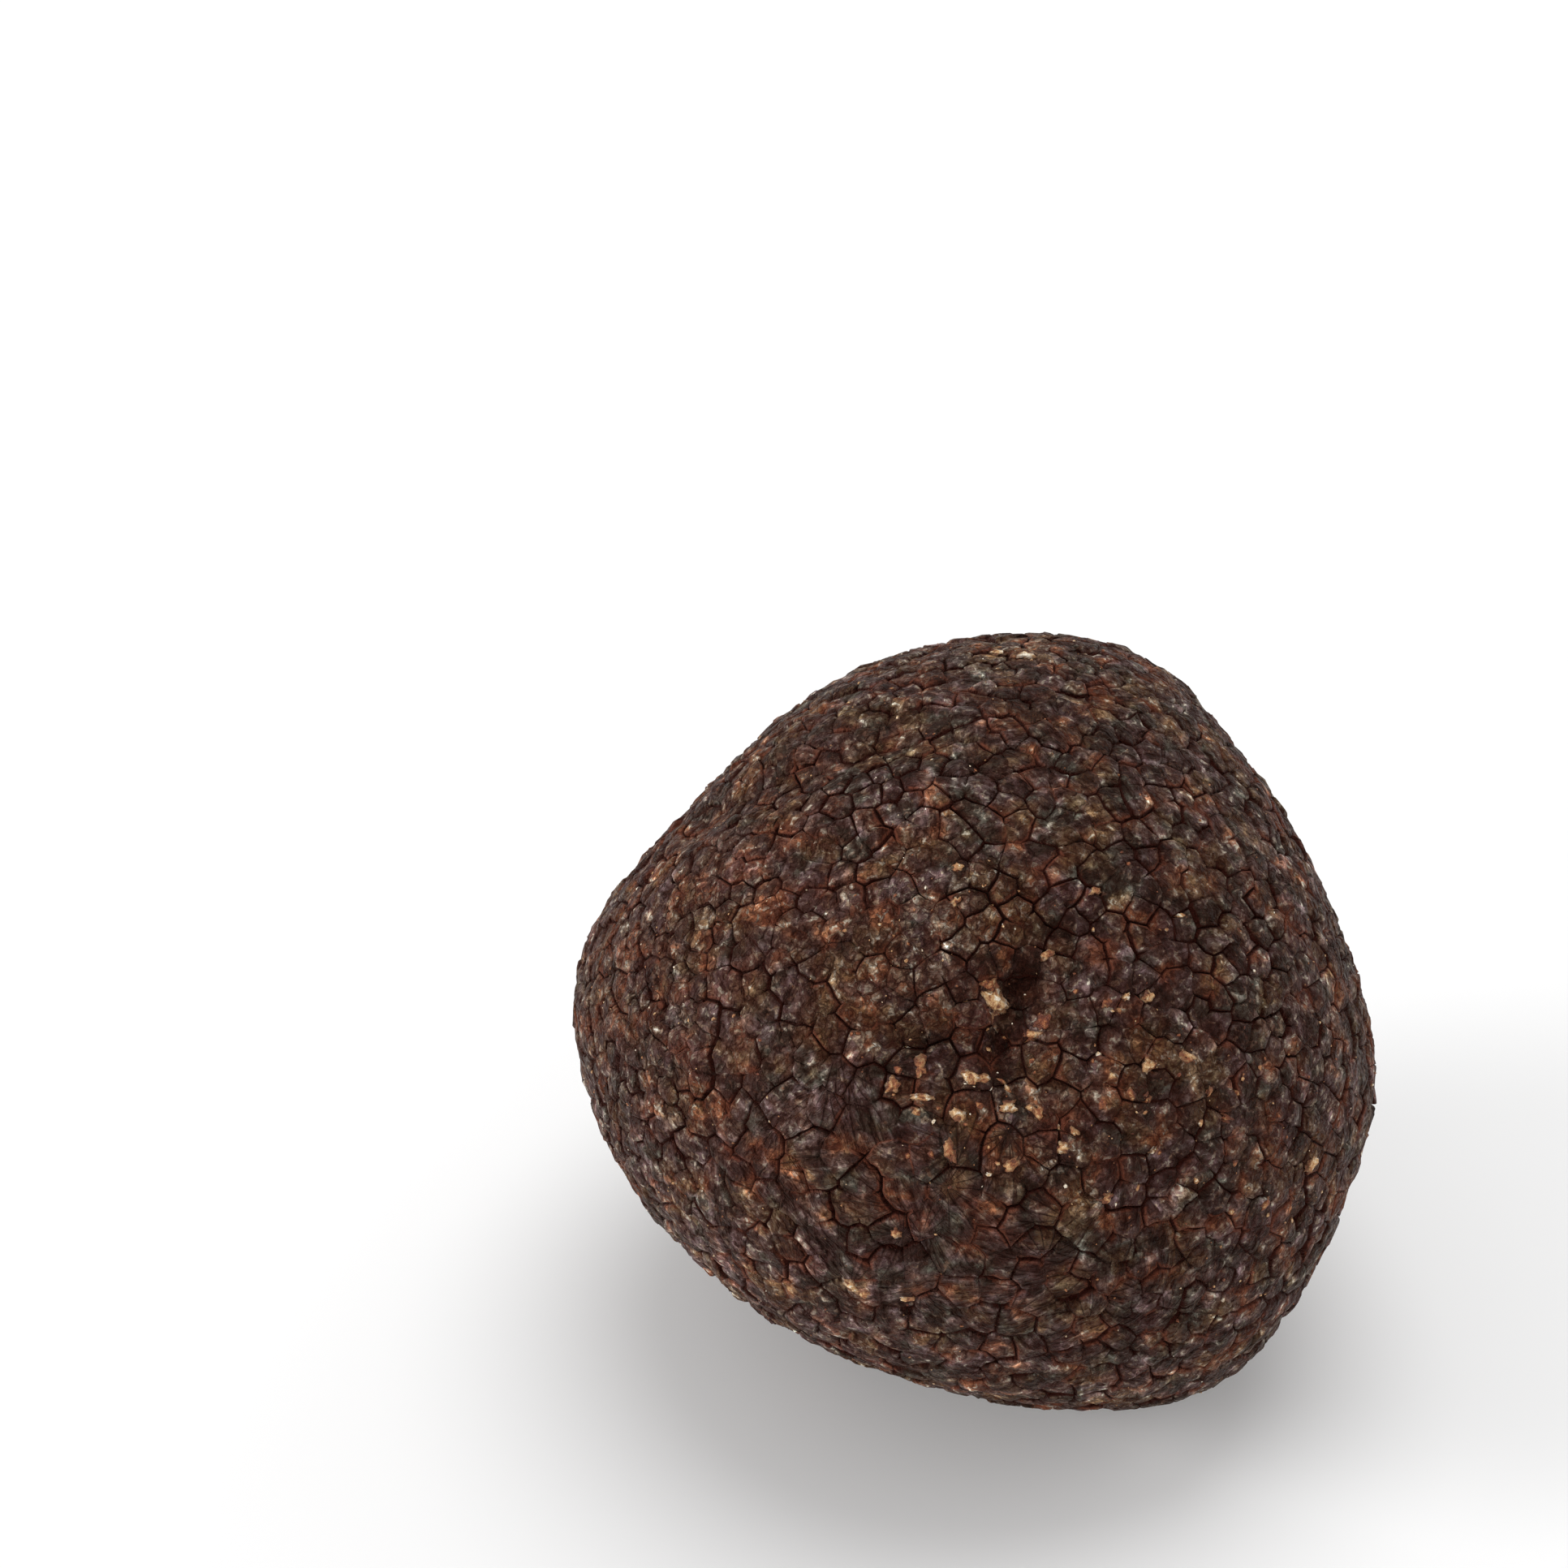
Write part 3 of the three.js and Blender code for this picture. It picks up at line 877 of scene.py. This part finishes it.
class Nodes:
    """Adds nodes to a material. An input is given as a number, a vector or another node's output."""

    def __init__(self, name):
        self.material = bpy.data.materials.new(name)
        self.material.use_nodes = True
        self.tree = self.material.node_tree
        self.shader = self.tree.nodes["Principled BSDF"]

    def put(self, socket, value):
        if isinstance(value, bpy.types.NodeSocket):
            self.tree.links.new(value, socket)
        else:
            socket.default_value = value

    def set_shader(self, **values):
        """Sets the shader's inputs. A _ stands for a space in a name."""
        for name, value in values.items():
            self.put(self.shader.inputs[name.replace("_", " ")], value)

    def add(self, kind, inputs, **settings):
        node = self.tree.nodes.new("ShaderNode" + kind)
        for name, value in settings.items():
            setattr(node, name, value)
        for name, value in inputs.items():
            self.put(node.inputs[name], value)
        return node

    def millimetres(self):
        """The place on the object, in millimetres."""
        place = self.add("TexCoord", {}).outputs["Object"]
        return self.add("VectorMath", {0: place, "Scale": 1 / MM}, operation="SCALE").outputs[0]

    def value(self, name):
        """A value stored on the mesh."""
        return self.add("Attribute", {}, attribute_name=name).outputs["Fac"]

    def math(self, operation, a, b):
        return self.add("Math", {0: a, 1: b}, operation=operation).outputs[0]

    def sum(self, a, b):
        return self.math("ADD", a, b)

    def times(self, a, b):
        return self.math("MULTIPLY", a, b)

    def total(self, start, *terms):
        """start, and for each (value, level, weight) how far value is above level times weight."""
        for value, level, weight in terms:
            above = self.sum(value, -level) if level else value
            start = self.sum(start, self.times(above, weight))
        return start

    def ramp(self, value, low, high, to_low=0.0, to_high=1.0):
        """A smooth step of value: to_low up to low, and to_high beyond high."""
        inputs = {"Value": value, "From Min": low, "From Max": high, "To Min": to_low, "To Max": to_high}
        return self.add("MapRange", inputs, interpolation_type="SMOOTHSTEP").outputs[0]

    def noise(self, where, per_mm, detail, roughness, distortion=0.0):
        inputs = {"Vector": where, "Scale": per_mm, "Detail": detail, "Roughness": roughness,
                  "Distortion": distortion}
        return self.add("TexNoise", inputs).outputs["Fac"]

    def cells(self, where, per_mm):
        """Each cell's distance from its middle, and two tones of its own."""
        cells = self.add("TexVoronoi", {"Vector": where, "Scale": per_mm})
        tones = self.add("SeparateColor", {"Color": cells.outputs["Color"]}).outputs
        return cells.outputs["Distance"], tones["Red"], tones["Green"]

    def cell_edges(self, where, per_mm, randomness):
        """The distance from the edges between cells."""
        inputs = {"Vector": where, "Scale": per_mm, "Randomness": randomness}
        return self.add("TexVoronoi", inputs, feature="DISTANCE_TO_EDGE").outputs["Distance"]

    def mix(self, share, shade, colour):
        """The shade, with a share of a colour over it."""
        # Sockets 6 and 7 are the node's colours
        return self.add("Mix", {0: share, 6: shade, 7: srgb(colour)}, data_type="RGBA").outputs[2]

    def gradient(self, value, stops):
        """A colour from value, through (position, colour) stops."""
        node = self.add("ValToRGB", {"Fac": value})
        elements = node.color_ramp.elements
        while len(elements) < len(stops):
            elements.new(0.5)
        for element, (position, colour) in zip(elements, stops):
            element.position = position
            element.color = srgb(colour)
        return node.outputs["Color"]

    def bump(self, millimetres):
        return self.add("Bump", {"Height": millimetres, "Distance": MM, "Strength": 1.0}).outputs["Normal"]


def wart_place(nodes, across, along, apart):
    """A place in a wart's own coordinates, and apart from the places in the other warts."""
    return nodes.add("CombineXYZ", {
        "X": across,
        "Y": nodes.times(nodes.value("fibre_along"), along),
        "Z": nodes.times(nodes.value("wart_tone"), apart),
    }).outputs[0]


def skin_patterns(nodes):
    """The values on the mesh and the patterns that the relief and the colours share."""
    names = ("crack", "plated", "rusty", "pale", "light", "stain", "wart_tone", "grain_tone")
    look = SimpleNamespace(**{name: nodes.value(name) for name in names})
    where = nodes.millimetres()
    bend = nodes.add("TexNoise", {"Vector": where, "Scale": 1.6, "Detail": 2.0, "Roughness": 0.5})
    bent = nodes.add("VectorMath", {0: bend.outputs["Color"], 1: where}, operation="ADD").outputs[0]
    for name, (is_bent, *shape) in SKIN_NOISES.items():
        setattr(look, name, nodes.noise(bent if is_bent else where, *shape))

    # Rough and granular where the zone is high, smooth with fibres where it is low
    look.zone = nodes.total(look.pale, (look.patches, 0.5, 2.0), (look.plated, 0, -0.6))
    look.granular = nodes.ramp(look.zone, -0.15, 0.55, 0.3, 1.0)
    look.smoothness = nodes.ramp(look.zone, -0.3, 0.45, 1.0, 0.12)

    # Granules, each a dome with creases round it, and smaller flecks, each with a tip
    distance, look.granule_hue, look.granule_tone = nodes.cells(bent, GRANULES_PER_MM)
    look.dome = nodes.ramp(distance, 0.05, 0.62, 1.0, 0.0)
    look.crease = nodes.ramp(nodes.cell_edges(bent, GRANULES_PER_MM, 1.0), 0.0, 0.11, 1.0, 0.0)
    distance, _, look.fleck_tone = nodes.cells(bent, FLECKS_PER_MM)
    look.tip = nodes.ramp(distance, 0.1, 0.58, 1.0, 0.0)

    # Fibres and strokes of colour that run along each wart
    across = nodes.value("fibre_across")
    look.fibres = nodes.noise(wart_place(nodes, nodes.times(across, 1.4), 0.3, 60.0), 1.0, 3.0, 0.62, 0.5)
    look.strokes = nodes.noise(wart_place(nodes, nodes.times(across, 1.25), 0.5, 90.0), 1.0, 2.0, 0.6, 0.8)
    look.fibrous = nodes.times(look.smoothness, nodes.ramp(look.plated, 0.2, 0.9, 1.0, 2.0))

    # A fan of fine grooves on each plate, which runs out from one side of the wart
    look.on_plates = nodes.ramp(look.plated, 0.35, 0.75)
    fan = nodes.math("ARCTAN2", across, nodes.sum(nodes.value("fibre_along"), FAN_START))
    between = nodes.cell_edges(wart_place(nodes, nodes.times(fan, 3.0), 0.2, 120.0), 1.0, 0.8)
    look.grooves = nodes.times(nodes.ramp(between, 0.0, 0.11, 1.0, 0.0), look.on_plates)
    return look


def skin_relief(nodes, look):
    """Heights in millimetres."""
    return nodes.total(
        nodes.times(look.lumps, 0.9),
        (look.dome, 0, nodes.times(look.granular, 0.36)),
        (look.crease, 0, nodes.times(look.granular, -0.1)),
        (look.tip, 0, nodes.times(look.granular, 0.12)),
        (look.grit, 0, 0.09),
        (look.grooves, 0, -0.2),
        (look.fibres, 0, nodes.times(look.fibrous, 0.7)),
    )


def skin_hue(nodes, look):
    """Colours that change slowly, from greenish and purplish greys through brown to rust."""
    pick = nodes.total(
        0.0,
        (look.hue, 0.13, 1.75),
        (look.granule_hue, 0, 0.06),
        (look.rusty, 0, 0.16),
        (look.smoothness, 0, -0.1),
    )
    shade = nodes.gradient(pick, SKIN_COLOURS)
    shade = nodes.mix(nodes.ramp(look.warmth, 0.5, 0.64, 0.0, 0.7), shade, OCHRE)
    shade = nodes.mix(nodes.ramp(look.warmth, 0.48, 0.35, 0.0, 0.6), shade, PLUM)
    # Tan and pale scraps of skin, ragged, mostly on the tips
    scraps = nodes.total(look.scraps, (look.pale, 0, 0.1), (look.tip, 0.5, 0.08),
                         (look.smoothness, 0, -0.05))
    shade = nodes.mix(nodes.ramp(scraps, 0.55, 0.64, 0.0, 0.8), shade, TAN_SCRAP)
    shade = nodes.mix(nodes.ramp(scraps, 0.66, 0.74, 0.0, 0.9), shade, PALE_SCRAP)
    # Small pale specks: painted glints, fewer on the plates
    specks = nodes.ramp(look.specks, 0.58, 0.66, 0.0, 0.85)
    return nodes.mix(nodes.times(specks, nodes.ramp(look.plated, 0.2, 0.9, 1.0, 0.35)), shade, PAINTED_GLINT)


def skin_stops(nodes, look):
    """How much lighter than its middle tone the skin is, in stops: the skin's own tone, with painted light
    and shade by zone, in the furrows and on the relief.
    """
    contrast = nodes.times(nodes.ramp(look.zone, -0.3, 0.45, 1.4, 0.85),
                           nodes.ramp(look.plated, 0.5, 1.0, 1.0, 0.35))
    return nodes.total(
        # painted light and shade by zone, partly the skin's own tone
        look.light,
        # painted shade, darker in the deeper furrows
        (look.stain, 0, -1.3),
        (look.blotches, 0.5, nodes.times(contrast, 6.0)),
        (look.strokes, 0.5, nodes.times(contrast, 5.5)),
        (look.patches, 0.5, 1.0),
        (look.hue, 0.5, 1.5),
        (look.warmth, 0.5, 1.0),
        (nodes.ramp(look.specks, 0.46, 0.36), 0, -1.3),
        (look.fleck_tone, 0.5, 1.0),
        (look.granule_tone, 0.5, 1.5),
        (look.wart_tone, 0.5, 0.8),
        (look.grain_tone, 0.5, 0.5),
        # The grit, dome, tip, fibre and groove terms follow the relief: partly the skin's own tone, partly
        # painted light on the rises and painted shade in the hollows
        (look.grit, 0.5, 1.0),
        (look.dome, 0.4, nodes.times(look.granular, 0.6)),
        (look.tip, 0.4, nodes.times(look.granular, 0.3)),
        (look.fibres, 0.5, nodes.times(look.fibrous, 3.0)),
        (look.grooves, 0, -1.2),
        (look.on_plates, 0, 0.3),
    )


def skin_colour(nodes, look):
    """The hues, made lighter and darker, with painted shade in the dips and creases, and dark cracks whose
    colour reaches up the grains' shoulders as painted shade.
    """
    stops = skin_stops(nodes, look)
    lightness = nodes.math("POWER", 2.0, nodes.sum(stops, SKIN_TONE))
    spread = nodes.sum(stops, TINT_SHIFT)
    start, rate = LIGHT_TINT
    spread = nodes.math("MINIMUM", spread, nodes.total(start, (spread, 0, rate)))
    tint = nodes.add("CombineXYZ", {axis: nodes.math("POWER", base, spread)
                                    for axis, base in STOP_TINT.items()}).outputs[0]
    shade = skin_hue(nodes, look)
    shade = nodes.add("VectorMath", {0: shade, 1: tint}, operation="MULTIPLY").outputs[0]
    shade = nodes.add("VectorMath", {0: shade, "Scale": lightness}, operation="SCALE").outputs[0]

    # Painted shade in the creases between granules and in the low parts of the lumps
    dip_shade = nodes.total(nodes.ramp(look.lumps, 0.5, 0.34, 0.0, 0.5), (look.crease, 0, 0.5))
    shade = nodes.mix(nodes.times(dip_shade, look.granular), shade, PAINTED_DIP_SHADE)
    lined = nodes.ramp(nodes.total(look.hue, (look.plated, 0, 0.05)), 0.51, 0.6, 0.0, 0.65)
    shade = nodes.mix(nodes.times(nodes.ramp(look.crack, 0.08, 0.25), lined), shade, CRACK_LINING)
    # The dark crack floor, which reaches up the shoulders as painted shade
    return nodes.mix(nodes.ramp(look.crack, 0.22, 0.6), shade, CRACK_FLOOR)


def skin_material():
    nodes = Nodes("Truffle skin")
    look = skin_patterns(nodes)
    nodes.set_shader(
        Base_Color=skin_colour(nodes, look),
        Normal=nodes.bump(skin_relief(nodes, look)),
        Roughness=nodes.ramp(look.grit, 0.35, 0.65, 0.75, 0.45),
        Specular_IOR_Level=0.12,
        Specular_Tint=srgb((255, 205, 180)),
        Sheen_Weight=0.03,
        Sheen_Roughness=0.4,
        Sheen_Tint=srgb((232, 200, 178)),
    )
    return nodes.material


def crumb_material():
    nodes = Nodes("Crumbs and flakes")
    where = nodes.millimetres()
    streaks = nodes.noise(where, 2.2, 3.0, 0.6, 0.4)
    grit = nodes.noise(where, 6.0, 2.0, 0.5)
    shade = nodes.gradient(nodes.total(nodes.value("tone"), (streaks, 0.5, 2.4)), CRUMB_COLOURS)
    shade = nodes.mix(nodes.ramp(nodes.value("rim"), 0.45, 1.0, 0.0, 0.75), shade, CRUMB_RIM)
    shade = nodes.mix(nodes.ramp(streaks, 0.44, 0.36, 0.0, 0.7), shade, CRUMB_STREAK)
    nodes.set_shader(
        Base_Color=shade,
        Normal=nodes.bump(nodes.total(nodes.times(streaks, 0.5), (grit, 0, 0.12))),
        Roughness=nodes.ramp(grit, 0.35, 0.65, 0.7, 0.45),
        Specular_IOR_Level=0.3,
    )
    return nodes.material


# ---- Making it all ----
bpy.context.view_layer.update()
make_camera()
make_floor()
make_studio()

skin = Skin(np.random.default_rng(GRAIN_SEED))
skin.finish()
skin_piece = make_mesh("truffle_skin", skin.points, skin.faces)
for name, values in skin.corner_values.items():
    set_attribute(skin_piece, name, "CORNER", values)
for name, values in skin.point_values.items():
    set_attribute(skin_piece, name, "POINT", values)
skin_piece.data.materials.append(skin_material())
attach(skin_piece, BODY)
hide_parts(NODE)

tree = BVHTree.FromPolygons(skin.points.tolist(), skin.faces)
crumbs = Crumbs(np.random.default_rng(CRUMB_SEED), tree)
crumb_piece = make_mesh("crumbs", np.vstack(crumbs.points), np.vstack(crumbs.faces))
set_attribute(crumb_piece, "tone", "POINT", crumbs.tones)
set_attribute(crumb_piece, "rim", "POINT", crumbs.rims)
crumb_piece.data.materials.append(crumb_material())
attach(crumb_piece, BODY)
